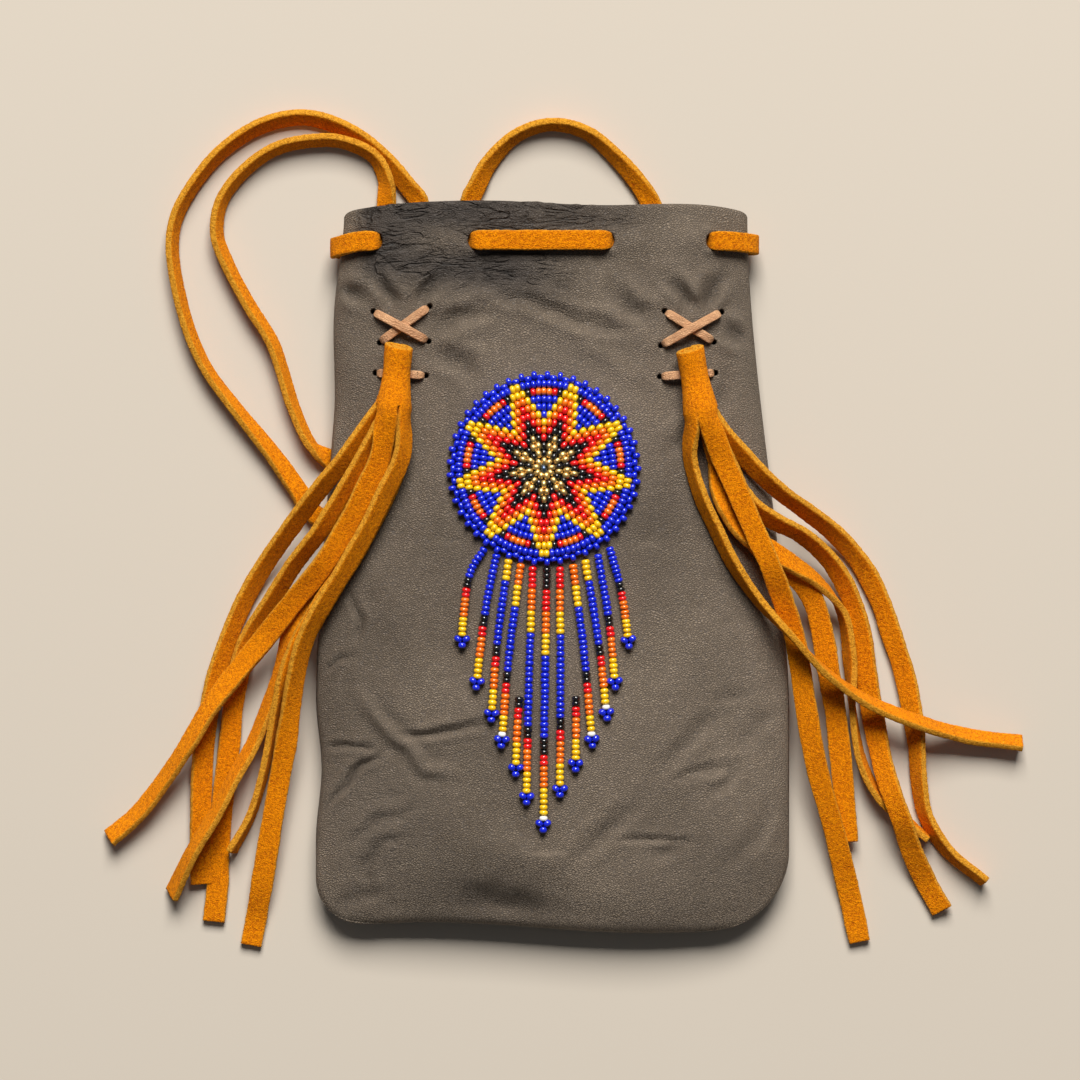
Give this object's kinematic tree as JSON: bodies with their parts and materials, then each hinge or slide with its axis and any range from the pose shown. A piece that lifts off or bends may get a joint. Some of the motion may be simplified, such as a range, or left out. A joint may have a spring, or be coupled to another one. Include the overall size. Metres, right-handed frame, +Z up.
{
  "type": "beaded phone pouch",
  "caption": "Soft leather drawstring pouch for a phone, with a beaded star rosette and bead fringe on the front, rolled suede tassels at the sides and a suede carry strap.",
  "frame": {"origin": "on the table, under the middle of the pouch lying on its back", "axes": "+Z up out of the beaded front, +Y toward the mouth, +X across the pouch to the right"},
  "size_m": [0.2603, 0.2363, 0.0256],
  "materials": {
    "pouch_leather": "soft pebbled",
    "suede": "napped suede",
    "tie_leather": "smooth",
    "rosette_beads": "gloss",
    "edging_beads": "gloss",
    "strand_beads": "gloss"
  },
  "bodies": {
    "root": {"front_panel": "pouch_leather", "back_panel": "pouch_leather", "drawstring": "suede", "carry_strap": "suede", "tassel_left": "suede", "tassel_right": "suede", "tie_lace_left": "tie_leather", "tie_lace_right": "tie_leather", "rosette": "rosette_beads", "rosette_edging": "edging_beads", "bead_strand_01": "strand_beads", "bead_strand_02": "strand_beads", "bead_strand_03": "strand_beads", "bead_strand_04": "strand_beads", "bead_strand_05": "strand_beads", "bead_strand_06": "strand_beads", "bead_strand_07": "strand_beads", "bead_strand_08": "strand_beads", "bead_strand_09": "strand_beads", "bead_strand_10": "strand_beads", "bead_strand_11": "strand_beads", "bead_strand_12": "strand_beads", "bead_strand_13": "strand_beads"}
  },
  "joints": []
}
